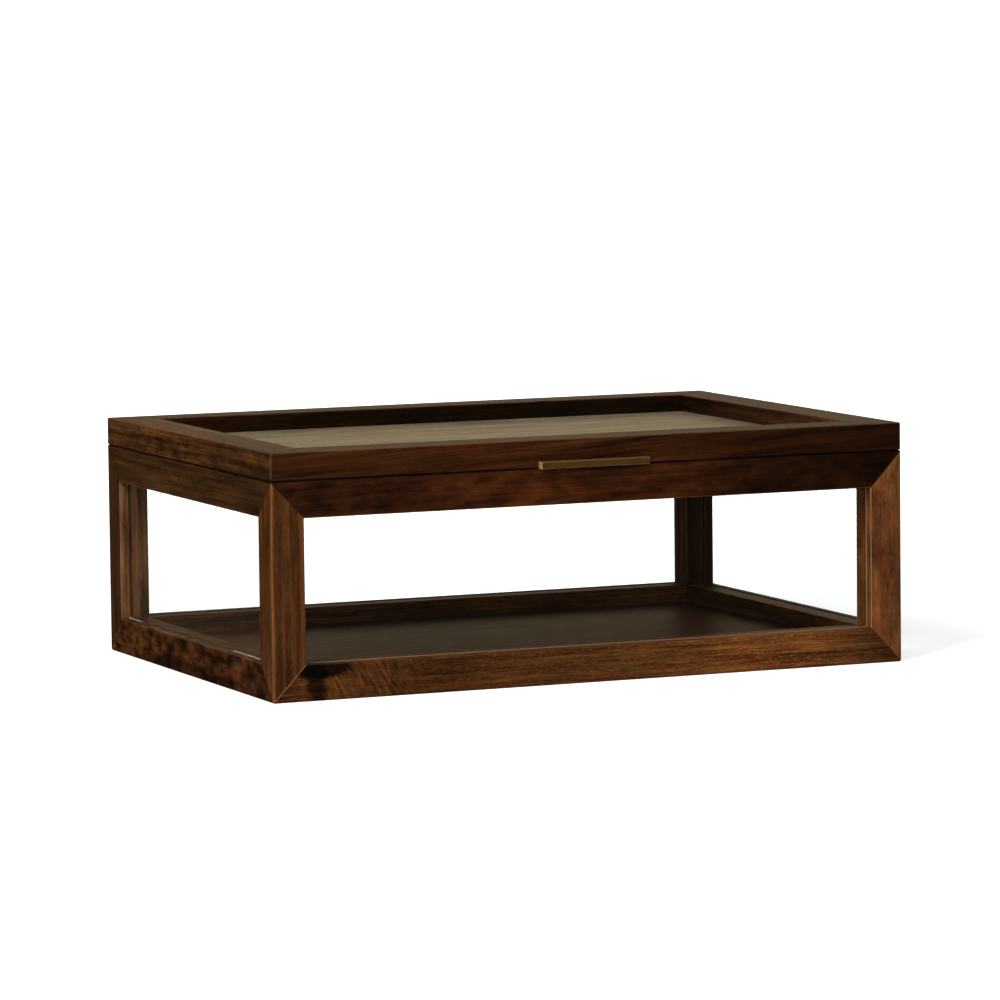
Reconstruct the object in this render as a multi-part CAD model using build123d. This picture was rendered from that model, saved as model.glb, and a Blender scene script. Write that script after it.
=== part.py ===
from build123d import *
import math
import os

# Tabletop display cabinet: a glazed hardwood case under a hinged lid whose sunk top serves as a tray.
# Millimetres. X runs left to right, the front faces -Y, Z is up and the underside stands at Z = 0.

# Overall sizes
case_width = 420.0
case_depth = 292.0
total_height = 150.0
lid_height = 17.1
seam_gap = 0.3

# Case frame: posts and rails mitred three ways at each corner
post_size = 21.3
top_rail_height = 22.5
bottom_rail_height = 22.4
corner_ease = 1.5
window_ease = 0.5
seam_ease = 0.6

# Panes, held in grooves in the posts and rails
glass_thickness = 3.0
glass_setback = 6.0
glass_groove_depth = 5.0
glass_side_clearance = 0.2
glass_edge_clearance = 0.5

# Floor board, with a tongue in the bottom rails' grooves
floor_top = 11.0
floor_thickness = 8.0
floor_tongue_thickness = 5.0
floor_groove_depth = 6.0

# Lid frame and its sunk board
lid_rail_width = 26.5
tray_depth = 11.0
lid_panel_thickness = 5.0
lid_tongue_thickness = 3.0
lid_groove_depth = 6.0
rim_ease = 0.8

# Room round the tongues and the raised fields of both boards
panel_edge_clearance = 0.5
panel_face_clearance = 0.1
panel_field_clearance = 0.3

# Glued dowels across the mitres
dowel_radius = 1.5
dowel_length = 9.0
lid_dowel_radius = 2.5
lid_dowel_length = 18.0
dowel_clearance = 0.05
dowel_chamfer = 0.4

# Stop hinges at the rear
hinge_length = 40.0
hinge_spacing = 240.0
leaf_width = 12.0
leaf_thickness = 1.5
knuckle_radius = 2.6
outer_knuckle_length = 8.0
middle_knuckle_length = 11.4
knuckle_gap = 0.3
barrel_clearance = 0.3
heel_height = 4.5
pin_radius = 1.25
pin_clearance = 0.05
pin_grip = 0.02
opening_angle = 95.0
stop_play = 1.0
mortise_clearance = 0.05

# Countersunk screws of the hinges and of the pull
screw_radius = 1.0
screw_length = 9.0
screw_head_radius = 2.0
screw_tip_length = 1.5
screw_slot_width = 0.5
screw_slot_depth = 0.5
screw_clearance = 0.05
leaf_screw_spacing = 13.0
pull_screw_spacing = 50.0

# Brass bar pull, an angle with its foot let into the underside of the lid
pull_length = 72.0
pull_height = 4.5
pull_projection = 4.5
pull_drop = 0.4
pull_relief = 0.4
pull_foot_depth = 14.0
pull_foot_thickness = 1.6
pull_ease = 0.4

# Bumpers let into the front top rail
bumper_radius = 3.0
bumper_seat_depth = 1.2
bumper_play = 0.05
bumper_inset = 32.0
bumper_ease = 0.2

# Levels and faces worked out from the sizes above
case_height = total_height - lid_height - seam_gap
lid_bottom = case_height + seam_gap
seam_level = case_height + seam_gap / 2
half_width = case_width / 2
pin_setback = knuckle_radius + barrel_clearance
hinge_reach = pin_setback + knuckle_radius
front_y = -(case_depth + hinge_reach - pull_projection) / 2
rear_y = front_y + case_depth
pin_y = rear_y + pin_setback
window_low = bottom_rail_height
window_high = case_height - top_rail_height
tray_top = total_height - tray_depth


def block(low, high):
    """Box between two opposite corners."""
    size = [high[i] - low[i] for i in range(3)]
    centre = [(high[i] + low[i]) / 2 for i in range(3)]
    return Pos(*centre) * Box(*size)


def grown_block(low, high, margins):
    """Box between two corners, grown on each side by the margin of that axis."""
    wide_low = [low[i] - margins[i] for i in range(3)]
    wide_high = [high[i] + margins[i] for i in range(3)]
    return block(wide_low, wide_high)


def prism_along_x(outline, start, end):
    """Outline in Y and Z, drawn out along X."""
    plane = Plane(origin=(start, 0, 0), x_dir=(0, 1, 0), z_dir=(1, 0, 0))
    return extrude(plane * make_face(Polyline(*outline, close=True)), end - start)


def prism_along_y(outline, start, end):
    """Outline in X and Z, drawn out along Y."""
    plane = Plane(origin=(0, end, 0), x_dir=(1, 0, 0), z_dir=(0, -1, 0))
    return extrude(plane * make_face(Polyline(*outline, close=True)), end - start)


def prism_along_z(outline, start, end):
    """Outline in X and Y, drawn out along Z."""
    plane = Plane(origin=(0, 0, start), x_dir=(1, 0, 0), z_dir=(0, 0, 1))
    return extrude(plane * make_face(Polyline(*outline, close=True)), end - start)


def rod(centre, direction, radius, length):
    """Round bar about its centre."""
    plane = Plane(origin=centre, z_dir=direction)
    return plane * Cylinder(radius, length)


# Case frame


def eased_case():
    """The closed case's outer form: round foot and arrises, finer ones at the seam."""
    body = block((-half_width, front_y, 0), (half_width, rear_y, case_height))
    foot = body.faces().sort_by(Axis.Z)[0].edges()
    body = fillet(body.edges().filter_by(Axis.Z) + foot, corner_ease)
    rim = body.faces().sort_by(Axis.Z)[-1].edges()
    return fillet(rim, seam_ease)


def eased_bar(low, high, axis, outer_arris):
    """Bar with its long arrises eased, except the one that lies on the case's outside."""
    bar = block(low, high)
    edges = bar.edges().filter_by(axis)
    inner = [edge for edge in edges if (edge.center() - Vector(*outer_arris)).length > window_ease]
    return fillet(inner, window_ease)


def rail_along_x(y_out, y_in, z_out, z_in):
    """Front or rear rail, pointed at both ends by the three-way mitre."""
    near, far = sorted((y_out, y_in))
    low, high = sorted((z_out, z_in))
    inner = half_width - post_size
    bar = eased_bar((-half_width, near, low), (half_width, far, high), Axis.X, (0, y_out, z_out))
    face = [(-half_width, z_out), (half_width, z_out), (inner, z_in), (-inner, z_in)]
    plan = [(-half_width, y_out), (half_width, y_out), (inner, y_in), (-inner, y_in)]
    return bar & prism_along_y(face, near, far) & prism_along_z(plan, low, high)


def rail_along_y(x_out, x_in, z_out, z_in):
    """Left or right rail, pointed at both ends by the three-way mitre."""
    near, far = sorted((x_out, x_in))
    low, high = sorted((z_out, z_in))
    inner_front = front_y + post_size
    inner_rear = rear_y - post_size
    middle = (front_y + rear_y) / 2
    bar = eased_bar((near, front_y, low), (far, rear_y, high), Axis.Y, (x_out, middle, z_out))
    face = [(front_y, z_out), (rear_y, z_out), (inner_rear, z_in), (inner_front, z_in)]
    plan = [(x_out, front_y), (x_out, rear_y), (x_in, inner_rear), (x_in, inner_front)]
    return bar & prism_along_x(face, near, far) & prism_along_z(plan, low, high)


def post(x_out, x_in, y_out, y_in):
    """Corner post, pointed at both ends by the three-way mitre."""
    left, right = sorted((x_out, x_in))
    near, far = sorted((y_out, y_in))
    bar = eased_bar((left, near, 0), (right, far, case_height), Axis.Z, (x_out, y_out, case_height / 2))
    levels = (0, case_height, window_high, window_low)
    face = list(zip((x_out, x_out, x_in, x_in), levels))
    side = list(zip((y_out, y_out, y_in, y_in), levels))
    return bar & prism_along_y(face, near, far) & prism_along_x(side, left, right)


def corner_dowels():
    """Three dowels at each corner of the case, one square across each mitre: centre and direction."""
    post_shares = (2 / 3, 1 / 3)
    rail_shares = (1 / 2, 1 / 4)
    mitres = ((0, 2, 1, post_shares), (1, 2, 0, post_shares), (0, 1, 2, rail_shares))
    places = []
    for side in (-1, 1):
        for end in (-1, 1):
            for foot in (True, False):
                corner = (side * half_width, front_y if end < 0 else rear_y, 0 if foot else case_height)
                reach = (-side * post_size, -end * post_size, window_low if foot else -top_rail_height)
                for first, second, third, (across, along) in mitres:
                    centre = list(corner)
                    centre[first] += across * reach[first]
                    centre[second] += across * reach[second]
                    centre[third] += along * reach[third]
                    direction = [0, 0, 0]
                    direction[first] = 1 / reach[first]
                    direction[second] = -1 / reach[second]
                    places.append((centre, direction))
    return places


def dowel(centre, direction, radius, length):
    """Dowel with chamfered ends."""
    body = rod(centre, direction, radius, length)
    rims = body.edges().filter_by(GeomType.CIRCLE)
    return chamfer(rims, dowel_chamfer)


def dowel_hole(centre, direction, radius, length):
    """Room for a dowel, with its glue."""
    return rod(centre, direction, radius + dowel_clearance, length + 2 * dowel_clearance)


# Panes


def pane_corners():
    """Opposite corners of each pane, by side."""
    bite = glass_groove_depth - glass_edge_clearance
    low = window_low - bite
    high = window_high + bite
    outer = glass_setback + glass_side_clearance
    inner = outer + glass_thickness
    half_run = half_width - post_size + bite
    start = front_y + post_size - bite
    end = rear_y - post_size + bite
    return {
        "front": ((-half_run, front_y + outer, low), (half_run, front_y + inner, high)),
        "rear": ((-half_run, rear_y - inner, low), (half_run, rear_y - outer, high)),
        "left": ((-half_width + outer, start, low), (-half_width + inner, end, high)),
        "right": ((half_width - inner, start, low), (half_width - outer, end, high)),
    }


def pane_slots():
    """Grooves for the four panes, each as the space that its pane and clearances fill."""
    slots = []
    for side, (low, high) in pane_corners().items():
        runs_along_x = side in ("front", "rear")
        x_margin = glass_edge_clearance if runs_along_x else glass_side_clearance
        y_margin = glass_side_clearance if runs_along_x else glass_edge_clearance
        slots.append(grown_block(low, high, (x_margin, y_margin, glass_edge_clearance)))
    return slots


# Boards, each a field between the rails with a thinner tongue in their grooves


def board(rail_width, groove_depth, top, thickness, tongue_thickness):
    """Board and the groove that its tongue runs in."""
    edge_x = half_width - rail_width
    edge_front = front_y + rail_width
    edge_rear = rear_y - rail_width
    gap = panel_field_clearance
    field_low = (-edge_x + gap, edge_front + gap, top - thickness)
    field_high = (edge_x - gap, edge_rear - gap, top)
    bite = groove_depth - panel_edge_clearance
    tongue_low = (-edge_x - bite, edge_front - bite, top - tongue_thickness)
    tongue_high = (edge_x + bite, edge_rear + bite, top)
    margins = (panel_edge_clearance, panel_edge_clearance, panel_face_clearance)
    whole = block(field_low, field_high) + block(tongue_low, tongue_high)
    return whole, grown_block(tongue_low, tongue_high, margins)


# Lid frame


def eased_lid():
    """The lid's outer form."""
    body = block((-half_width, front_y, lid_bottom), (half_width, rear_y, total_height))
    body = fillet(body.edges().filter_by(Axis.Z), corner_ease)
    body = fillet(body.faces().sort_by(Axis.Z)[-1].edges(), rim_ease)
    return fillet(body.faces().sort_by(Axis.Z)[0].edges(), seam_ease)


def lid_rail(outline, bar_low, bar_high, axis, inner_face):
    """Lid rail: a bar with its inner arrises eased, cut to its mitred plan."""
    bar = block(bar_low, bar_high)
    across = Axis.Y if axis == Axis.X else Axis.X
    face = bar.faces().filter_by(across).sort_by(across)[inner_face]
    bar = fillet(face.edges().filter_by(axis), window_ease)
    return bar & prism_along_z(outline, lid_bottom, total_height) & eased_lid()


def lid_rails():
    """The four rails of the lid's frame, by side."""
    inner_x = half_width - lid_rail_width
    inner_front = front_y + lid_rail_width
    inner_rear = rear_y - lid_rail_width
    outer = {
        "front": ((-half_width, front_y), (half_width, front_y)),
        "rear": ((half_width, rear_y), (-half_width, rear_y)),
        "left": ((-half_width, rear_y), (-half_width, front_y)),
        "right": ((half_width, front_y), (half_width, rear_y)),
    }
    inner = {
        "front": ((inner_x, inner_front), (-inner_x, inner_front)),
        "rear": ((-inner_x, inner_rear), (inner_x, inner_rear)),
        "left": ((-inner_x, inner_front), (-inner_x, inner_rear)),
        "right": ((inner_x, inner_rear), (inner_x, inner_front)),
    }
    rails = {}
    for side in outer:
        outline = outer[side] + inner[side]
        axis = Axis.X if side in ("front", "rear") else Axis.Y
        inner_face = -1 if side in ("front", "left") else 0
        low = (min(p[0] for p in outline), min(p[1] for p in outline), lid_bottom)
        high = (max(p[0] for p in outline), max(p[1] for p in outline), total_height)
        rails[side] = lid_rail(outline, low, high, axis, inner_face)
    return rails


def lid_dowels():
    """One dowel across each mitre of the lid, above the board's groove: centre and direction."""
    inset = (lid_rail_width - lid_groove_depth) / 2
    level = (tray_top + total_height) / 2
    places = []
    for side in (-1, 1):
        for end, face in ((-1, front_y), (1, rear_y)):
            centre = (side * (half_width - inset), face - end * inset, level)
            places.append((centre, (side, -end, 0)))
    return places


# Hinges


def leaf_levels(direction):
    """Lowest and highest level of a leaf: direction is 1 in the lid and -1 in the case."""
    inner = seam_level + direction * seam_gap / 2
    return sorted((inner, inner + direction * leaf_thickness))


def stop_heel(start, end, direction):
    """Heel behind the pin, whose sloping face meets the other leaf's heel when the lid is open."""
    half_gap = seam_gap / 2
    rise = math.tan(math.radians((opening_angle + stop_play) / 2))
    section = [
        (-pin_setback, half_gap),
        (half_gap / rise, half_gap),
        (knuckle_radius, knuckle_radius * rise),
        (knuckle_radius, max(heel_height, knuckle_radius * rise + leaf_thickness)),
        (-pin_setback, max(heel_height, knuckle_radius * rise + leaf_thickness)),
    ]
    outline = [(pin_y + y, seam_level + direction * z) for y, z in section]
    return prism_along_x(outline, start, end)


def hinge_leaf(centre, direction, knuckles, bore_radius):
    """Leaf with its plate, its knuckles on the pin's line and a stop heel at each end."""
    low, high = leaf_levels(direction)
    start = centre - hinge_length / 2
    end = centre + hinge_length / 2
    leaf = block((start, rear_y - leaf_width, low), (end, rear_y, high))
    for left, right in knuckles:
        leaf += block((left, rear_y, low), (right, pin_y, high))
        middle = ((left + right) / 2, pin_y, seam_level)
        leaf += rod(middle, (1, 0, 0), knuckle_radius, right - left)
    barrel_half = barrel_length() / 2 + knuckle_gap
    leaf += stop_heel(start, centre - barrel_half, direction)
    leaf += stop_heel(centre + barrel_half, end, direction)
    bore = rod((centre, pin_y, seam_level), (1, 0, 0), bore_radius, barrel_length())
    return leaf - bore


def barrel_length():
    """Length of a hinge's row of knuckles."""
    return middle_knuckle_length + 2 * (knuckle_gap + outer_knuckle_length)


def outer_knuckles(centre):
    """The case leaf's two knuckles, as stretches along X."""
    outer = barrel_length() / 2
    inner = outer - outer_knuckle_length
    return [(centre - outer, centre - inner), (centre + inner, centre + outer)]


def middle_knuckle(centre):
    """The lid leaf's knuckle, as a stretch along X."""
    return [(centre - middle_knuckle_length / 2, centre + middle_knuckle_length / 2)]


def leaf_mortise(centre, direction):
    """Recess for a leaf in its rail, open behind and at the seam."""
    low, high = leaf_levels(direction)
    half = hinge_length / 2
    margin = mortise_clearance
    return grown_block((centre - half, rear_y - leaf_width, low), (centre + half, rear_y, high), (margin,) * 3)


# Screws


def screw_profile(radius, head_radius, length, tip_length):
    """Turned form of a countersunk screw with its head at the origin and its point upwards."""
    head_height = head_radius - radius
    points = [(0, 0), (head_radius, 0), (radius, head_height), (radius, length - tip_length), (0, length)]
    return revolve(Plane.XZ * make_face(Polyline(*points, close=True)), Axis.Z)


def screw_place(place, direction):
    """Head's place and the way that the point faces: 1 is up and -1 is down."""
    return Pos(*place) * Rot(0 if direction > 0 else 180, 0, 0)


def screw(place, direction):
    """Countersunk screw with a straight slot."""
    body = screw_profile(screw_radius, screw_head_radius, screw_length, screw_tip_length)
    slot = Box(2 * screw_head_radius, screw_slot_width, 2 * screw_slot_depth)
    return screw_place(place, direction) * (body - slot)


def screw_hole(place, direction):
    """Countersink and pilot hole of a screw."""
    margin = screw_clearance
    hole = screw_profile(
        screw_radius + margin, screw_head_radius + margin, screw_length + margin, screw_tip_length
    )
    return screw_place(place, direction) * hole


def leaf_screws(direction):
    """Places of the screws of both hinges on one side of the seam."""
    level = seam_level + direction * seam_gap / 2
    places = []
    for side in (-1, 1):
        for step in (-1, 0, 1):
            x = side * hinge_spacing / 2 + step * leaf_screw_spacing
            places.append((x, rear_y - leaf_width / 2, level))
    return places


def pull_screws():
    """Places of the screws in the pull's foot."""
    return [(side * pull_screw_spacing / 2, front_y + pull_foot_depth / 2, lid_bottom) for side in (-1, 1)]


# Pull and bumpers


def pull_foot_corners():
    """Opposite corners of the pull's foot, flush with the underside of the lid."""
    half = pull_length / 2
    low = (-half, front_y, lid_bottom)
    high = (half, front_y + pull_foot_depth, lid_bottom + pull_foot_thickness)
    return low, high


def pull():
    """Bar pull: a lip across the seam, relieved where it hangs in front of the case, and a foot."""
    half = pull_length / 2
    bottom = lid_bottom - pull_drop
    bar = block((-half, front_y - pull_projection, bottom), (half, front_y, bottom + pull_height))
    bar = fillet(bar.faces().sort_by(Axis.Y)[0].edges(), pull_ease)
    relief = block((-half, front_y - pull_relief, bottom), (half, front_y, lid_bottom))
    return (bar - relief) + block(*pull_foot_corners())


def bumper_places():
    """Centres of the bumpers on the case's top."""
    return [(side * (half_width - bumper_inset), front_y + post_size / 2) for side in (-1, 1)]


def bumper(x, y):
    """Round bumper that fills the seam but for its play."""
    height = bumper_seat_depth + seam_gap - bumper_play
    body = Pos(x, y, case_height - bumper_seat_depth + height / 2) * Cylinder(bumper_radius, height)
    top = body.faces().sort_by(Axis.Z)[-1]
    return fillet(top.edges(), bumper_ease)


def bumper_seat(x, y):
    """Hole that a bumper is glued into."""
    radius = bumper_radius + mortise_clearance
    return Pos(x, y, case_height) * Cylinder(radius, 2 * bumper_seat_depth)


# Assembly


def case_frame():
    """Posts and rails of the case, with all their grooves, holes and mortises."""
    envelope = eased_case()
    members = {}
    faces_x = {"left": -half_width, "right": half_width}
    faces_y = {"front": front_y, "rear": rear_y}
    inward = {"left": post_size, "right": -post_size, "front": post_size, "rear": -post_size}
    for end, y_out in faces_y.items():
        for side, x_out in faces_x.items():
            members[f"post_{end}_{side}"] = post(x_out, x_out + inward[side], y_out, y_out + inward[end])
    for level, z_out, z_in in (("top", case_height, window_high), ("bottom", 0, window_low)):
        for end, y_out in faces_y.items():
            members[f"{level}_rail_{end}"] = rail_along_x(y_out, y_out + inward[end], z_out, z_in)
        for side, x_out in faces_x.items():
            members[f"{level}_rail_{side}"] = rail_along_y(x_out, x_out + inward[side], z_out, z_in)
    cuts = pane_slots() + [floor_groove]
    cuts += [dowel_hole(*place, dowel_radius, dowel_length) for place in corner_dowels()]
    for name, member in members.items():
        members[name] = (member & envelope) - cuts
    rear_cuts = [leaf_mortise(x, -1) for x in hinge_centres]
    rear_cuts += [screw_hole(place, -1) for place in leaf_screws(-1)]
    members["top_rail_rear"] -= rear_cuts
    members["top_rail_front"] -= [bumper_seat(*place) for place in bumper_places()]
    return members


def lid_frame():
    """Rails of the lid, with their grooves, holes and mortises."""
    rails = lid_rails()
    cuts = [lid_groove]
    cuts += [dowel_hole(*place, lid_dowel_radius, lid_dowel_length) for place in lid_dowels()]
    members = {f"lid_rail_{side}": rail - cuts for side, rail in rails.items()}
    rear_cuts = [leaf_mortise(x, 1) for x in hinge_centres]
    rear_cuts += [screw_hole(place, 1) for place in leaf_screws(1)]
    members["lid_rail_rear"] -= rear_cuts
    front_cuts = [grown_block(*pull_foot_corners(), (mortise_clearance,) * 3)]
    front_cuts += [screw_hole(place, 1) for place in pull_screws()]
    members["lid_rail_front"] -= front_cuts
    return members


hinge_centres = (-hinge_spacing / 2, hinge_spacing / 2)
floor_panel, floor_groove = board(post_size, floor_groove_depth, floor_top, floor_thickness, floor_tongue_thickness)
lid_panel, lid_groove = board(lid_rail_width, lid_groove_depth, tray_top, lid_panel_thickness, lid_tongue_thickness)

nodes = {}
nodes.update(case_frame())
nodes["floor_panel"] = floor_panel
for side, corners in pane_corners().items():
    nodes[f"glass_{side}"] = block(*corners)
case_dowels = [dowel(*place, dowel_radius, dowel_length) for place in corner_dowels()]
nodes["case_corner_dowels"] = Compound(case_dowels)
nodes["lid_bumpers"] = Compound([bumper(*place) for place in bumper_places()])

case_screw_holes = [screw_hole(place, -1) for place in leaf_screws(-1)]
lid_screw_holes = [screw_hole(place, 1) for place in leaf_screws(1)]
for side, x in zip(("left", "right"), hinge_centres):
    case_leaf = hinge_leaf(x, -1, outer_knuckles(x), pin_radius + pin_grip)
    lid_leaf = hinge_leaf(x, 1, middle_knuckle(x), pin_radius + pin_clearance)
    nodes[f"case_hinge_leaf_{side}"] = case_leaf - case_screw_holes
    nodes[f"lid_hinge_leaf_{side}"] = lid_leaf - lid_screw_holes
    nodes[f"hinge_pin_{side}"] = rod((x, pin_y, seam_level), (1, 0, 0), pin_radius, barrel_length())
nodes["case_hinge_screws"] = Compound([screw(place, -1) for place in leaf_screws(-1)])

nodes.update(lid_frame())
nodes["lid_panel"] = lid_panel
nodes["lid_corner_dowels"] = Compound([dowel(*place, lid_dowel_radius, lid_dowel_length) for place in lid_dowels()])
nodes["lid_hinge_screws"] = Compound([screw(place, 1) for place in leaf_screws(1)])
nodes["pull"] = pull() - [screw_hole(place, 1) for place in pull_screws()]
nodes["pull_screws"] = Compound([screw(place, 1) for place in pull_screws()])

os.makedirs("parts", exist_ok=True)
for name, shape in nodes.items():
    export_step(shape, f"parts/{name}.step")
print(len(nodes), "nodes")
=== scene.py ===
import math

import bpy
from mathutils import Matrix, Vector


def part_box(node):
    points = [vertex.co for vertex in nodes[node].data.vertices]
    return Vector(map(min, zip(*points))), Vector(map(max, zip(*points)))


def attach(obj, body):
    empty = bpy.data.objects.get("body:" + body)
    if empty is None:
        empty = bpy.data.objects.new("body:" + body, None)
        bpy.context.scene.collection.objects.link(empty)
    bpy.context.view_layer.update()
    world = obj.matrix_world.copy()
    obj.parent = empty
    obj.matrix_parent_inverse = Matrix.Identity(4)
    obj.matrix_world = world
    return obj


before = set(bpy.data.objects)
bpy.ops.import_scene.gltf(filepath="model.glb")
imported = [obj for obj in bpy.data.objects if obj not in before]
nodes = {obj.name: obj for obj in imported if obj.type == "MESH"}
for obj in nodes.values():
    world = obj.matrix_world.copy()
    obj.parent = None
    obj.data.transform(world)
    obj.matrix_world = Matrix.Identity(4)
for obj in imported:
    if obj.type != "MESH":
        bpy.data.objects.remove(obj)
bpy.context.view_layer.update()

MM = 0.001
X, Y, Z = 0, 1, 2

# Faces of the case and the lid and the sizes of their members, read from the frame in millimetres
case_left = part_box("bottom_rail_left")[0].x / MM
case_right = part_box("bottom_rail_right")[1].x / MM
case_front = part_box("bottom_rail_front")[0].y / MM
case_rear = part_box("bottom_rail_rear")[1].y / MM
case_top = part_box("top_rail_front")[1].z / MM
post_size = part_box("post_front_left")[1].x / MM - case_left
foot_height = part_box("bottom_rail_front")[1].z / MM
window_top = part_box("top_rail_front")[0].z / MM
lid_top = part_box("lid_rail_front")[1].z / MM
seam_level = (case_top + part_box("lid_rail_front")[0].z / MM) / 2
lid_rail_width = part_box("lid_rail_left")[1].x / MM - case_left

# Middle of the case in metres, which all lamps face
middle = Vector((0, 0, case_top / 2 * MM))


# Camera, floor, world and lamps


def place_camera():
    """Camera at the photograph's place, turn, tilt and roll, with its long lens."""
    foot = Vector((case_left, case_front, 0))
    from_foot = Vector((-1176.0, -3090.5, 448.2))
    yaw = math.radians(23.193)
    pitch = math.radians(5.662)
    roll = math.radians(-0.652)
    focal_pixels = 5598.0
    picture_pixels = 1000.0
    forward = Vector((math.sin(yaw) * math.cos(pitch), math.cos(yaw) * math.cos(pitch), -math.sin(pitch)))
    level_right = Vector((math.cos(yaw), -math.sin(yaw), 0))
    level_up = level_right.cross(forward)
    right = math.cos(roll) * level_right + math.sin(roll) * level_up
    up = math.cos(roll) * level_up - math.sin(roll) * level_right
    data = bpy.data.cameras.new("camera")
    data.sensor_width = 36.0
    data.lens = data.sensor_width * focal_pixels / picture_pixels
    data.clip_start = 0.1
    data.clip_end = 200.0
    camera = bpy.data.objects.new("camera", data)
    turn = Matrix((right, up, -forward)).transposed().to_4x4()
    camera.matrix_world = Matrix.Translation((foot + from_foot) * MM) @ turn
    bpy.context.scene.collection.objects.link(camera)
    bpy.context.scene.camera = camera


def add_lamp(name, toward, distance, size, power, colour=(1, 1, 1)):
    """Square soft lamp that stands in the direction toward and faces the middle of the case."""
    data = bpy.data.lights.new(name, "AREA")
    data.shape = "SQUARE"
    data.size = size
    data.energy = power
    data.color = colour
    lamp = bpy.data.objects.new(name, data)
    lamp.location = middle + Vector(toward).normalized() * distance
    lamp.rotation_euler = (middle - lamp.location).to_track_quat("-Z", "Y").to_euler()
    bpy.context.scene.collection.objects.link(lamp)
    return lamp


def srgb(red, green, blue):
    """Linear colour from display values of 0 to 255."""
    parts = []
    for value in (red, green, blue):
        share = value / 255
        parts.append(share / 12.92 if share <= 0.04045 else ((share + 0.055) / 1.055) ** 2.4)
    return (*parts, 1.0)


class Graph:
    """A shader tree, with short calls to add and join its nodes."""

    def __init__(self, tree):
        self.tree = tree

    def node(self, kind, **settings):
        made = self.tree.nodes.new("ShaderNode" + kind)
        for key, value in settings.items():
            setattr(made, key, value)
        return made

    def put(self, value, socket):
        """Link a socket or set a plain value."""
        if isinstance(value, bpy.types.NodeSocket):
            self.tree.links.new(value, socket)
        else:
            socket.default_value = value

    def math(self, operation, first, second=0.0, third=0.0):
        made = self.node("Math", operation=operation)
        for value, socket in zip((first, second, third), made.inputs):
            self.put(value, socket)
        return made.outputs[0]

    def add(self, first, second):
        return self.math("ADD", first, second)

    def less(self, first, second):
        return self.math("SUBTRACT", first, second)

    def times(self, first, second):
        return self.math("MULTIPLY", first, second)

    def scaled(self, value, gain, start):
        """Value times gain, plus start."""
        return self.math("MULTIPLY_ADD", value, gain, start)

    def smaller(self, first, second):
        return self.math("MINIMUM", first, second)

    def larger(self, first, second):
        return self.math("MAXIMUM", first, second)

    def apart(self, first, second):
        """Distance between two values."""
        return self.math("ABSOLUTE", self.less(first, second))

    def fade(self, value, start, end):
        """Smooth step of value: 0 at start and 1 at end."""
        made = self.node("MapRange", interpolation_type="SMOOTHSTEP")
        self.put(value, made.inputs["Value"])
        self.put(start, made.inputs["From Min"])
        self.put(end, made.inputs["From Max"])
        return made.outputs["Result"]

    def vector(self, *parts):
        made = self.node("CombineXYZ")
        for value, socket in zip(parts, made.inputs):
            self.put(value, socket)
        return made.outputs[0]

    def parts(self, vector):
        made = self.node("SeparateXYZ")
        self.put(vector, made.inputs[0])
        return list(made.outputs)

    def noise(self, vector, detail, roughness=0.5):
        """Noise around zero, from -0.5 to 0.5."""
        made = self.node("TexNoise")
        self.put(vector, made.inputs["Vector"])
        made.inputs["Scale"].default_value = 1.0
        made.inputs["Detail"].default_value = detail
        made.inputs["Roughness"].default_value = roughness
        return self.less(made.outputs["Fac"], 0.5)

    def ramp(self, value, stops, interpolation="LINEAR"):
        """Colour for value from (place, colour) stops."""
        made = self.node("ValToRGB")
        self.put(value, made.inputs["Fac"])
        made.color_ramp.interpolation = interpolation
        elements = made.color_ramp.elements
        while len(elements) < len(stops):
            elements.new(0.5)
        for element, (place, colour) in zip(elements, stops):
            element.position = place
            element.color = colour
        return made.outputs["Color"]

    def mix(self, factor, first, second, blend="MIX"):
        """Blend of two colours."""
        made = self.node("Mix", data_type="RGBA", blend_type=blend)
        self.put(factor, made.inputs["Factor"])
        self.put(first, made.inputs[6])
        self.put(second, made.inputs[7])
        return made.outputs[2]

    def tinted(self, colour, by):
        """Product of two colours."""
        return self.mix(1.0, colour, by, "MULTIPLY")

    def mix_shaders(self, factor, first, second):
        made = self.node("MixShader")
        self.put(factor, made.inputs["Fac"])
        self.put(first, made.inputs[1])
        self.put(second, made.inputs[2])
        return made.outputs[0]

    def seen_directly(self):
        """1 for rays from the camera, and as much more through glass as its faces take away."""
        through_glass = 1.6
        path = self.node("LightPath")
        passed = self.times(path.outputs["Is Transmission Ray"], through_glass)
        return self.larger(path.outputs["Is Camera Ray"], passed)

    def mirrored(self):
        """1 for rays that left their last surface by reflection."""
        path = self.node("LightPath")
        reflected = self.less(path.outputs["Is Glossy Ray"], path.outputs["Is Transmission Ray"])
        return self.math("GREATER_THAN", reflected, 0.5)


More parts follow.
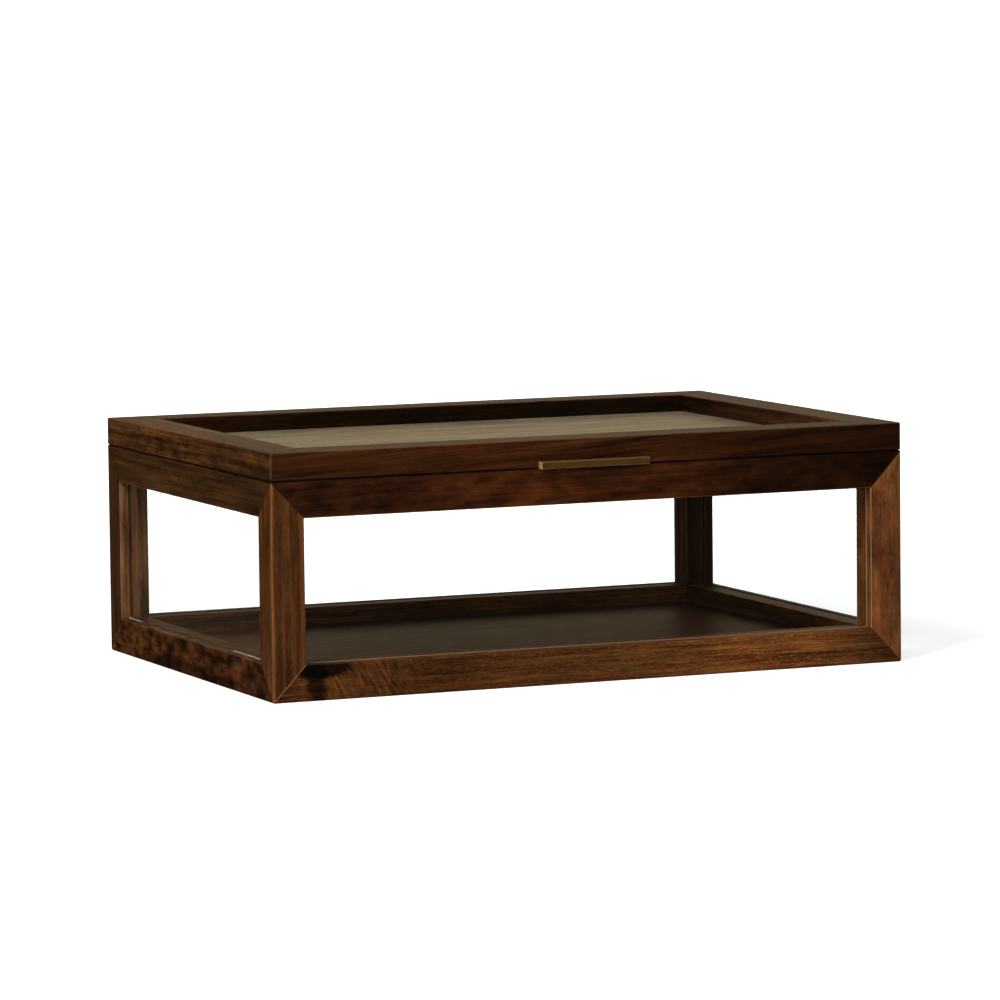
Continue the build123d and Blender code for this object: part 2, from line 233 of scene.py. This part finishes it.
class Surface(Graph):
    """A new material with its main shader, on coordinates in millimetres."""

    def __init__(self, name):
        self.material = bpy.data.materials.new(name)
        self.material.use_nodes = True
        super().__init__(self.material.node_tree)
        self.shader = self.tree.nodes["Principled BSDF"]
        self.output = self.tree.nodes["Material Output"].inputs["Surface"]
        scale = self.node("VectorMath", operation="SCALE")
        self.put(self.node("TexCoord").outputs["Object"], scale.inputs[0])
        self.put(1 / MM, scale.inputs["Scale"])
        self.place = self.parts(scale.outputs[0])

    def set(self, **inputs):
        """Set the main shader's inputs, with _ for the spaces in their names."""
        for name, value in inputs.items():
            self.put(value, self.shader.inputs[name.replace("_", " ")])

    def bump(self, height, depth):
        """Relief of height times depth millimetres."""
        made = self.node("Bump")
        self.put(height, made.inputs["Height"])
        made.inputs["Strength"].default_value = 1.0
        made.inputs["Distance"].default_value = depth * MM
        return made.outputs["Normal"]

    def off(self, axis, level):
        """Distance from a level on an axis."""
        return self.apart(self.place[axis], level)

    def edge_gap(self, name):
        """Distance over the surface of a node's box to its nearest edge."""
        low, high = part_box(name)
        gaps = []
        for axis in (X, Y, Z):
            from_low = self.less(self.place[axis], low[axis] / MM)
            to_high = self.less(high[axis] / MM, self.place[axis])
            gaps.append(self.smaller(from_low, to_high))
        return self.middle_one(gaps)[1]

    def middle_one(self, values):
        """Largest and middle one of three values."""
        first, second, third = values
        least = self.smaller(self.smaller(first, second), third)
        most = self.larger(self.larger(first, second), third)
        total = self.add(self.add(first, second), third)
        return most, self.less(self.less(total, least), most)


def make_floor():
    """Plain pale floor that shows white where no shadow falls, and dark and warm in reflections."""
    reach = 40.0
    pale = (0.8, 0.8, 0.8, 1)
    dark_warm = (0.05, 0.038, 0.026, 1)
    near_glow, far_glow = 0.70, 1.15
    near, far = 250, 1400
    corners = [(-reach, -reach, 0), (reach, -reach, 0), (reach, reach, 0), (-reach, reach, 0)]
    mesh = bpy.data.meshes.new("floor")
    mesh.from_pydata(corners, [], [(0, 1, 2, 3)])
    floor = bpy.data.objects.new("floor", mesh)
    bpy.context.scene.collection.objects.link(floor)
    surface = Surface("floor")
    x, y = surface.place[:2]
    away = surface.math("SQRT", surface.add(surface.times(x, x), surface.times(y, y)))
    level = surface.scaled(surface.fade(away, near, far), far_glow - near_glow, near_glow)
    glow = surface.times(surface.seen_directly(), level)
    colour = surface.mix(surface.mirrored(), pale, dark_warm)
    surface.set(Base_Color=colour, Roughness=0.9, Specular_IOR_Level=0.0)
    surface.set(Emission_Color=(1, 1, 1, 1), Emission_Strength=glow)
    mesh.materials.append(surface.material)


def make_world():
    """Even sky: white where it is seen, weak as light, and weaker and warm in reflections."""
    white, warm = (1, 1, 1, 1), (1, 0.75, 0.5, 1)
    light, gloss = 0.16, 0.045
    world = bpy.data.worlds.new("world")
    bpy.context.scene.world = world
    world.use_nodes = True
    graph = Graph(world.node_tree)
    sky = graph.tree.nodes["Background"]
    mirrored = graph.mirrored()
    level = graph.larger(graph.scaled(mirrored, gloss - light, light), graph.seen_directly())
    graph.put(graph.mix(mirrored, white, warm), sky.inputs["Color"])
    graph.put(level, sky.inputs["Strength"])


def make_lamps():
    """Key lamp from the left, weak fills all round, and a warm sheen from behind on the flat tops."""
    add_lamp("key", (-0.62, -0.42, 0.70), 2.3, 1.1, 46.0)
    add_lamp("front fill", (-0.45, -0.85, 0.22), 2.6, 1.4, 8.0)
    add_lamp("right fill", (0.95, 0.1, 0.5), 2.6, 1.4, 8.0)
    sheen = add_lamp("sheen", (0.45, 0.86, 0.42), 2.4, 1.3, 2.6, (1.0, 0.80, 0.50))
    sheen.visible_diffuse = False
    rear_fill = add_lamp("rear fill", (0.25, 0.95, 0.28), 2.6, 1.2, 9.0)
    rear_fill.visible_camera = False
    rear_fill.visible_glossy = False
    rear_fill.visible_transmission = False


# Wood


class Wood(Surface):
    """Satin hardwood of one node: a tone built up in layers along its grain, then coloured."""

    # Length and width of the grain's slow bends, and how far they move it
    bend_length, bend_width, sway = 140.0, 40.0, 4.0
    # Steps through the noise from one node to the next, and from one bend to the other
    next_bend, next_along, next_side, other_bend = 7.3, 391.0, 53.0, 11.7
    # Worn edges and the painted highlight on arrises, the pale mitre at the front left foot, and the gain of
    # the dark joints and of the painted shade in the seam
    wear_and_highlight = srgb(178, 139, 104)
    pale_joint = srgb(180, 138, 96)
    joint_and_seam_shade_gain = 0.3

    def __init__(self, name, grain, seed, base, slope):
        super().__init__("wood_" + name)
        self.name = name
        self.grain = grain
        self.seed = seed
        self.base = srgb(*base)
        across = [axis for axis in (X, Y, Z) if axis != grain]
        slow = [self.scaled(self.place[grain], 1 / self.bend_length, seed * self.next_bend)]
        slow += [self.times(self.place[axis], 1 / self.bend_width) for axis in across]
        bend_side = self.noise(self.vector(*slow), 1.0)
        bend_height = self.noise(self.vector(*[self.add(part, self.other_bend) for part in slow]), 1.0)
        side = self.add(self.place[across[0]], seed * self.next_side)
        height = self.scaled(self.place[grain], -slope, self.place[across[1]])
        self.along = self.add(self.place[grain], seed * self.next_along)
        self.side = self.scaled(bend_side, self.sway, side)
        self.height = self.scaled(bend_height, self.sway, height)
        self.fibre = self.grained(7.0, 0.55, 2.0, 0.6)
        self.pore = self.fade(self.grained(6.0, 0.5, 1.0), -0.08, -0.22)
        self.ragged = self.grained(20.0, 8.0, 3.0, 0.6)

    def shade(self, red, green, blue):
        """The base colour times three gains."""
        return (self.base[0] * red, self.base[1] * green, self.base[2] * blue, 1.0)

    def grained(self, length, width, detail=3.0, roughness=0.55):
        """Noise stretched along the grain, length by width millimetres."""
        along = self.times(self.along, 1 / length)
        side = self.times(self.side, 1 / width)
        height = self.times(self.height, 1 / width)
        return self.noise(self.vector(along, side, height), detail, roughness)

    def layered(self, layers, feather):
        """Tone around a half from (noise, gain) layers, which a feather figure calms where it lies."""
        stroke_gain, lift, calming = 2.0, 0.1, 0.8
        tone = 0.5
        if feather:
            inside, strokes = self.feathered(*feather)
            tone = self.scaled(strokes, stroke_gain, self.scaled(inside, lift, tone))
            calm = self.scaled(inside, -calming, 1.0)
            layers = [(self.times(layer, calm), gain) for layer, gain in layers]
        for layer, gain in layers:
            tone = self.scaled(layer, gain, tone)
        return tone

    def feathered(self, start, end, slope):
        """Where a feather figure lies between two places along the grain, and its falling strokes."""
        stroke_length, stroke_width = 22.0, 4.2
        bend_length, bend_width, bend = 30.0, 18.0, 7.0
        here = self.place[self.grain]
        run = self.scaled(self.place[Z], -slope, here)
        fall = self.scaled(here, slope, self.place[Z])
        slow = self.vector(self.times(run, 1 / bend_length), self.times(fall, 1 / bend_width), self.seed)
        bent = self.scaled(self.noise(slow, 1.0), bend, fall)
        fine = self.vector(self.times(run, 1 / stroke_length), self.times(bent, 1 / stroke_width), self.seed)
        strokes = self.noise(fine, 3.0, 0.6)
        begun = self.fade(here, start - 5, start + 5)
        not_over = self.fade(here, end + 22, end - 16)
        inside = self.times(begun, not_over)
        return inside, self.times(inside, strokes)

    def coloured(self, tone, dashes, hues):
        """Colour of the tone, with pale dashes, dark pores and a slow drift between red and green."""
        colour = self.ramp(tone, [
            (0.0, self.shade(0.14, 0.10, 0.10)),
            (0.28, self.shade(0.50, 0.44, 0.42)),
            (0.52, self.shade(1.0, 1.0, 1.0)),
            (0.8, self.shade(1.75, 1.8, 1.7)),
            (1.0, self.shade(2.4, 2.6, 2.5)),
        ])
        pale, dark = self.shade(2.6, 3.2, 3.6), self.shade(0.3, 0.26, 0.26)
        pores = 0.5
        dash = self.fade(self.grained(2.8, 0.6, 1.0), 0.06, 0.2)
        colour = self.mix(self.times(dash, dashes), colour, pale)
        colour = self.mix(self.times(self.pore, pores), colour, dark)
        hue = self.fade(self.grained(30.0, 9.0, 2.0), -0.2, 0.2)
        redder = (1 + hues, 1 - hues, 1 - hues, 1)
        greener = (1 - hues, 1 + hues, 1 + 0.5 * hues, 1)
        return self.tinted(colour, self.mix(hue, redder, greener))

    def gain_along(self, gains, tint=(1.0, 1.0, 1.0)):
        """Even stops of brightness along the grain, as a colour of the given tint."""
        low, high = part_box(self.name)
        share = self.node("MapRange")
        self.put(self.place[self.grain], share.inputs["Value"])
        self.put(low[self.grain] / MM, share.inputs["From Min"])
        self.put(high[self.grain] / MM, share.inputs["From Max"])
        stops = []
        for i, gain in enumerate(gains):
            stops.append((i / (len(gains) - 1), (*[gain * part for part in tint], 1)))
        return self.ramp(share.outputs[0], stops, "EASE")

    def dim(self, inside, colour, gain):
        """The colour times gain where inside is 1, with the red a little less dimmed."""
        cooler = gain * 0.9
        return self.mix(inside, colour, self.tinted(colour, (gain, cooler, cooler, 1)))

    def patch(self, place, reach):
        """1 inside a soft ragged ellipse, given by two (axis, value) pairs and two reaches."""
        raggedness, outer, inner = 1.9, 1.25, 0.65
        squares = []
        for (axis, centre), radius in zip(place, reach):
            share = self.times(self.less(self.place[axis], centre), 1 / radius)
            squares.append(self.times(share, share))
        far = self.math("SQRT", self.add(squares[0], squares[1]))
        return self.fade(self.scaled(self.ragged, raggedness, far), outer, inner)

    def painted_face_light_and_shade(self, colour, axis, level, gains, *tint):
        """Painted light and shade: the colour times gains along the grain, on the face at one level of an
        axis.
        """
        outer, inner = 0.5, 0.15
        changed = self.tinted(colour, self.gain_along(gains, *tint))
        return self.mix(self.fade(self.off(axis, level), outer, inner), colour, changed)

    def near_line(self, place):
        """1 along the line where two axes have the values given in place."""
        outer, inner = 0.6, 0.21
        gaps = [self.off(axis, value) for axis, value in place]
        return self.fade(self.larger(gaps[0], gaps[1]), outer, inner)

    def mitre_gap(self):
        """Distance from the nearest mitre, and a share from the corner: 1 where the mitre ends."""
        lid = self.name.startswith("lid")
        rail = lid_rail_width if lid else post_size
        from_x = self.times(self.less(case_right, self.math("ABSOLUTE", self.place[X])), 1 / rail)
        from_front = self.less(self.place[Y], case_front)
        from_y = self.times(self.smaller(from_front, self.less(case_rear, self.place[Y])), 1 / rail)
        if lid:
            return self.times(self.apart(from_x, from_y), rail * math.sqrt(0.5)), self.larger(from_x, from_y)
        from_foot = self.times(self.place[Z], 1 / foot_height)
        from_top = self.times(self.less(case_top, self.place[Z]), 1 / (case_top - window_top))
        most, second = self.middle_one((from_x, from_y, self.smaller(from_foot, from_top)))
        return self.times(self.less(most, second), rail * math.sqrt(0.5)), most

    def jointed(self, colour, pale_foot):
        """The colour with dark lines at the mitres, pale instead at the front left foot."""
        dark_share, pale_share = 0.7, 0.6
        outer, inner = 0.3, 0.1
        gap, share = self.mitre_gap()
        joint = self.times(self.fade(gap, outer, inner), self.fade(share, 1.06, 1.0))
        colour = self.dim(self.times(joint, dark_share), colour, self.joint_and_seam_shade_gain)
        if pale_foot:
            front = self.fade(self.place[Y], case_front + 2, case_front + 1)
            left = self.fade(self.place[X], 0.0, -1.0)
            low = self.fade(self.place[Z], foot_height + 8, foot_height)
            here = self.times(joint, self.times(self.times(front, left), low))
            colour = self.mix(self.times(here, pale_share), colour, self.pale_joint)
        return colour

    def worn_highlit_and_seam_shaded(self, colour, wear, lit_arrises):
        """The colour worn pale along the node's edges, with a painted highlight along the given arrises and
        painted shade in the seam.
        """
        edges_patchy, arrises_patchy = 0.6, 0.35
        patchy = self.fade(self.ragged, -0.12, 0.1)
        worn = self.fade(self.edge_gap(self.name), 1.0, 0.3)
        pale = self.times(self.times(worn, self.scaled(patchy, edges_patchy, 1 - edges_patchy)), wear)
        # Painted highlight along the given arrises, patchy like the worn edges
        for place, strength in lit_arrises:
            here = self.scaled(patchy, arrises_patchy, 1 - arrises_patchy)
            line = self.times(self.near_line(place), here)
            pale = self.larger(pale, self.times(line, strength))
        from_seam = self.off(Z, seam_level)
        pale = self.times(pale, self.fade(from_seam, 1.2, 2.6))
        colour = self.mix(pale, colour, self.wear_and_highlight)
        # Painted shade in the seam between lid and case
        return self.dim(self.fade(from_seam, 1.0, 0.5), colour, self.joint_and_seam_shade_gain)


def wood(name, grain, seed, base, streaks=1.0, lines=1.0, blotches=1.0, dashes=0.15, burl=0.0, gains=None,
         patches=(), faces=(), feather=None, wear=0.12, lit_arrises=(), pale_foot=False, specular=0.22,
         depth=0.005, slope=0.0, cloud=(55.0, 14.0), hues=0.06):
    """Finish of one wooden node, whose grain runs along one axis and tilts by slope.

    streaks, lines, blotches and burl weigh the layers of its tone, and cloud is a blotch's length and
    width. gains change its brightness in even steps along the grain, patches in ragged ellipses, and faces
    paint light and shade in steps on one flat face each. dashes and wear are the shares of pale dashes
    and worn edges, arrises are lines with a painted highlight, and hues is how far the colour drifts
    between red and green.
    """
    surface = Wood(name, grain, seed, base, slope)
    fibre, pore = surface.fibre, surface.pore
    blotch = surface.grained(*cloud)
    layers = [
        (surface.grained(150.0, 3.6, 3.0, 0.6), 1.7 * streaks),
        (surface.grained(45.0, 0.95, 3.0, 0.65), 1.3 * lines),
        (blotch, 1.3 * blotches),
        (fibre, 0.8 * lines),
    ]
    if burl:
        layers.append((surface.grained(13.0, 7.0, 3.0, 0.55), 4.2 * burl))
    colour = surface.coloured(surface.layered(layers, feather), dashes, hues)
    if gains:
        colour = surface.tinted(colour, surface.gain_along(gains))
    for place, reach, gain in patches:
        colour = surface.dim(surface.patch(place, reach), colour, gain)
    for face in faces:
        colour = surface.painted_face_light_and_shade(colour, *face)
    colour = surface.worn_highlit_and_seam_shaded(surface.jointed(colour, pale_foot), wear, lit_arrises)

    satin, fibre_rough, pore_rough, blotch_rough = 0.42, 0.3, 0.15, 0.15
    rough = surface.scaled(fibre, fibre_rough, satin)
    rough = surface.scaled(pore, pore_rough, rough)
    rough = surface.scaled(blotch, blotch_rough, rough)
    relief = surface.scaled(pore, -1.0, surface.times(fibre, 0.8))
    surface.set(Base_Color=colour, Roughness=rough, Normal=surface.bump(relief, depth))
    surface.set(Specular_IOR_Level=specular, Specular_Tint=(1.0, 0.8, 0.56, 1.0))
    dress(name, surface.material)


def dress(name, material):
    """Give a CAD node its finish."""
    for slot in nodes[name].material_slots:
        slot.material = material


# Glass and metal


def glass():
    """Clear pane that lets the lamps through."""
    surface = Surface("pane_glass")
    surface.set(Base_Color=srgb(252, 254, 253), Roughness=0.0, IOR=1.5, Transmission_Weight=1.0)
    path = surface.node("LightPath")
    bounced = surface.larger(path.outputs["Is Diffuse Ray"], surface.mirrored())
    open_to = surface.larger(path.outputs["Is Shadow Ray"], bounced)
    clear = surface.node("BsdfTransparent").outputs[0]
    surface.put(surface.mix_shaders(open_to, surface.shader.outputs[0], clear), surface.output)
    return surface.material


def brass(name, colour, dull, scratched=1.0, end_highlight_share=0.0):
    """Brushed, slightly aged brass of one node, with its strokes along X."""
    surface = Surface("brass_" + name)
    edge, end_highlight = srgb(224, 178, 108), srgb(255, 214, 150)
    ageing, wear, satin, rough_strokes, stroke_depth = 0.6, 0.6, 0.42, 0.3, 0.006
    x, y, z = surface.place
    fine = surface.vector(surface.times(x, 1 / 22), surface.times(y, 8.0), surface.times(z, 8.0))
    broad = surface.vector(surface.times(x, 1 / 7), surface.times(y, 1 / 3), surface.times(z, 1 / 3))
    stroke = surface.noise(fine, 3.0, 0.6)
    aged = surface.fade(surface.noise(broad, 3.0), -0.18, 0.2)
    tint = surface.mix(surface.times(aged, ageing), colour, dull)
    worn = surface.fade(surface.edge_gap(name), 0.7, 0.15)
    tint = surface.mix(surface.times(worn, wear), tint, edge)
    # Painted highlight on both end caps
    if end_highlight_share:
        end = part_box(name)[1].x / MM
        cap = surface.fade(surface.math("ABSOLUTE", x), end - 0.3, end - 0.1)
        tint = surface.mix(surface.times(cap, end_highlight_share), tint, end_highlight)
    rough = surface.scaled(stroke, rough_strokes * scratched, satin)
    relief = surface.bump(stroke, stroke_depth * scratched)
    surface.set(Base_Color=tint, Metallic=0.75, Roughness=rough, Normal=relief)
    dress(name, surface.material)


def matt(name, colour, rough=0.7):
    """Plain soft finish of one node, with a slight mottle."""
    surface = Surface("matt_" + name)
    finer = surface.vector(*[surface.times(part, 0.8) for part in surface.place])
    mottle = surface.fade(surface.noise(finer, 2.0), 0.15, -0.15)
    darker = (*[value * 0.7 for value in colour[:3]], 1.0)
    surface.set(Base_Color=surface.mix(mottle, colour, darker), Roughness=rough)
    dress(name, surface.material)


def glazing_line(side, colour, pale):
    """Clear bead that seals the outside of a pane to its four members, a ring with a sloping face."""
    low, high = [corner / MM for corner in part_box("glass_" + side)]
    wide = X if side in ("front", "rear") else Y
    deep = Y if wide == X else X
    outward = -1 if side in ("front", "left") else 1
    face = (low if outward < 0 else high)[deep]
    ends = (case_left, case_right) if wide == X else (case_front, case_rear)
    window = ((ends[0] + post_size, ends[1] - post_size), (foot_height, window_top))
    play, leg = 0.02, 0.4

    def ring(inset, proud):
        (left, right), (bottom, top) = window
        corners = [(left + inset, bottom + inset), (right - inset, bottom + inset),
                   (right - inset, top - inset), (left + inset, top - inset)]
        points = []
        for across, height in corners:
            point = [0.0, 0.0, height]
            point[wide] = across
            point[deep] = face + outward * proud
            points.append(Vector(point) * MM)
        return points

    points = ring(play, leg) + ring(play, play) + ring(leg, play)
    faces = []
    for loop in range(3):
        for i in range(4):
            after = (i + 1) % 4
            far = (loop + 1) % 3
            faces.append((loop * 4 + i, loop * 4 + after, far * 4 + after, far * 4 + i))
    mesh = bpy.data.meshes.new("glazing_line_" + side)
    mesh.from_pydata(points, [], faces)
    piece = bpy.data.objects.new("glazing_line_" + side, mesh)
    bpy.context.scene.collection.objects.link(piece)
    mesh.materials.append(bead(side, wide, sum(ends) / 2, colour, pale))
    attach(piece, "case")


def bead(side, wide, centre, colour, pale):
    """Finish of a glazing line, pale by a share where light catches both ends of its lowest run."""
    shift, dark_reach, pale_reach = 20.0, 78.0, 88.0
    caught = srgb(225, 222, 212)
    surface = Surface("glazing_line_" + side)
    towards_end = surface.fade(surface.off(wide, centre + shift), dark_reach, pale_reach)
    low_run = surface.fade(surface.place[Z], foot_height + 1.5, foot_height + 0.5)
    lit = surface.times(surface.times(low_run, towards_end), pale)
    surface.set(Base_Color=surface.mix(lit, colour, caught), Roughness=0.3)
    return surface.material


# Finishes of all nodes

rear_post_face = case_rear - post_size
right_post_face = case_right - post_size
# Lines along these arrises carry a painted highlight
front_left_arris = ((X, case_left), (Y, case_front))
right_window_arris = ((X, right_post_face), (Y, case_front))
sill_arris = ((Y, case_front), (Z, foot_height))
lid_front_arris = ((Y, case_front), (Z, lid_top))


def finish_lid_wood():
    """Lid rails and lid panel."""
    wood("lid_rail_front", X, 1, (64, 30, 8), gains=(0.6, 0.84, 1.04, 0.75, 0.56, 0.38), blotches=0.4,
         lines=0.6, slope=0.06, lit_arrises=[(front_left_arris, 0.5), (lid_front_arris, 0.25)])
    wood("lid_rail_left", Y, 2, (70, 41, 16), gains=(0.64, 0.76, 1.45, 1.1), blotches=0.6, burl=0.2,
         lines=0.7)
    # Painted shadow on the inner faces of the rear and right lid rails: the rear one darkest toward the
    # right, the right one with painted light near the front and darker toward the rear
    wood("lid_rail_rear", X, 3, (62, 32, 12), faces=[(Y, case_rear - lid_rail_width, (0.4, 0.15, 0.12))])
    wood("lid_rail_right", Y, 4, (64, 33, 12),
         faces=[(X, case_right - lid_rail_width, (1.5, 1.4, 0.7, 0.4, 0.3, 0.3))])
    wood("lid_panel", X, 18, (135, 119, 93), blotches=0.35, streaks=0.35, lines=0.5, wear=0, hues=0.015)


def finish_case_rails():
    """Top rails, bottom rails and floor, with the shade under the pull and the knot at the front left."""
    under_pull = (((X, 1), (Z, 131.4)), (38, 1.5), 0.35)
    dark_knot = [(((X, -178), (Z, 21)), (19, 8), 0.08), (((X, -183), (Z, 11)), (8, 12), 0.15),
                 (((X, -201), (Z, 7)), (12, 9), 0.6)]
    low_shade = (((Y, 10), (Z, 2)), (95, 7), 0.45)
    wood("top_rail_front", X, 5, (60, 26, 6), gains=(0.7, 0.68, 1.3, 1.1, 0.4, 0.28), lines=0.6,
         streaks=0.4, blotches=0.9, burl=0.22, cloud=(34.0, 13.0), slope=0.03, patches=[under_pull])
    wood("top_rail_left", Y, 6, (61, 36, 14), gains=(0.72, 0.94, 1.18, 1.0), lines=0.6, streaks=0.6,
         blotches=0.8)
    wood("top_rail_rear", X, 7, (60, 30, 12))
    wood("top_rail_right", Y, 8, (60, 30, 12))
    # Painted shade on the top face of the front bottom rail, darkest in its middle; the sill arris has a
    # painted highlight
    wood("bottom_rail_front", X, 9, (93, 52, 20), gains=(0.95, 0.53, 0.78, 1.0, 1.76, 0.44), dashes=0.5,
         streaks=0.6, blotches=0.6, lines=1.15, feather=(-176, -122, 1.7), lit_arrises=[(sill_arris, 0.08)],
         wear=0.06, pale_foot=True, faces=[(Z, foot_height, (0.98, 0.5, 0.64))], patches=dark_knot)
    wood("bottom_rail_left", Y, 10, (69, 36, 12), gains=(0.74, 0.86, 0.84, 1.55), burl=0.62, streaks=0.3,
         blotches=0.8, lines=0.5, hues=0.13, patches=[low_shade])
    wood("bottom_rail_rear", X, 11, (80, 46, 20))
    wood("bottom_rail_right", Y, 12, (80, 46, 20))
    wood("floor_panel", X, 17, (66, 33, 11), blotches=0.8, wear=0, depth=0, specular=0.08)


def finish_posts():
    """Corner posts."""
    small_knots = [(((X, 197), (Z, 70)), (0.9, 2.6), 0.5), (((X, 200.5), (Z, 48)), (0.9, 2.6), 0.5)]
    wood("post_front_left", Z, 13, (84, 48, 18), lit_arrises=[(front_left_arris, 0.65)], lines=0.45, streaks=0.8,
         blotches=0.8, pale_foot=True)
    wood("post_front_right", Z, 14, (114, 66, 32), gains=(0.98, 0.8, 1.28), blotches=1.0, streaks=0.25,
         lines=0.45, cloud=(22.0, 10.0), hues=0.08, patches=small_knots, lit_arrises=[(right_window_arris, 0.6)])
    # Painted reflection on the front face of the rear left post, 3.5 times lighter and cooler; painted shade
    # on the front face of the rear right post and painted light on its left face
    wood("post_rear_left", Z, 15, (56, 32, 14), lines=0.5,
         faces=[(Y, rear_post_face, (3.5, 3.5), (1.0, 1.25, 1.6))])
    wood("post_rear_right", Z, 16, (68, 38, 16), lines=0.6,
         faces=[(Y, rear_post_face, (0.45, 0.45)), (X, right_post_face, (2.0, 2.0))])


def finish_glass():
    """Panes and their glazing lines."""
    pane = glass()
    # The glazing lines' tones are painted light and shade: lit on the front, shaded on the left, with a
    # painted highlight at both ends of the left one's lowest run
    warm, light, dark = srgb(110, 84, 60), srgb(150, 112, 80), srgb(66, 48, 34)
    beads = (("front", light, 0.0), ("left", dark, 0.5), ("rear", warm, 0.0), ("right", warm, 0.0))
    for side, colour, pale in beads:
        dress("glass_" + side, pane)
        glazing_line(side, colour, pale)


def finish_fittings():
    """Hinges, screws, pull, dowels and bumpers."""
    for side in ("left", "right"):
        brass("case_hinge_leaf_" + side, srgb(150, 112, 60), srgb(110, 80, 42))
        brass("lid_hinge_leaf_" + side, srgb(150, 112, 60), srgb(110, 80, 42))
        brass("hinge_pin_" + side, srgb(168, 128, 70), srgb(130, 96, 50), 0.4)
    for name in ("case_hinge_screws", "lid_hinge_screws", "pull_screws"):
        brass(name, srgb(160, 122, 66), srgb(120, 88, 46), 0.4)
    brass("pull", srgb(138, 100, 50), srgb(98, 68, 33), end_highlight_share=0.9)
    matt("case_corner_dowels", srgb(186, 150, 108))
    matt("lid_corner_dowels", srgb(186, 150, 108))
    matt("lid_bumpers", srgb(44, 38, 34), 0.85)


place_camera()
make_floor()
make_world()
make_lamps()
finish_lid_wood()
finish_case_rails()
finish_posts()
finish_glass()
finish_fittings()

bpy.context.scene.view_settings.view_transform = "Standard"
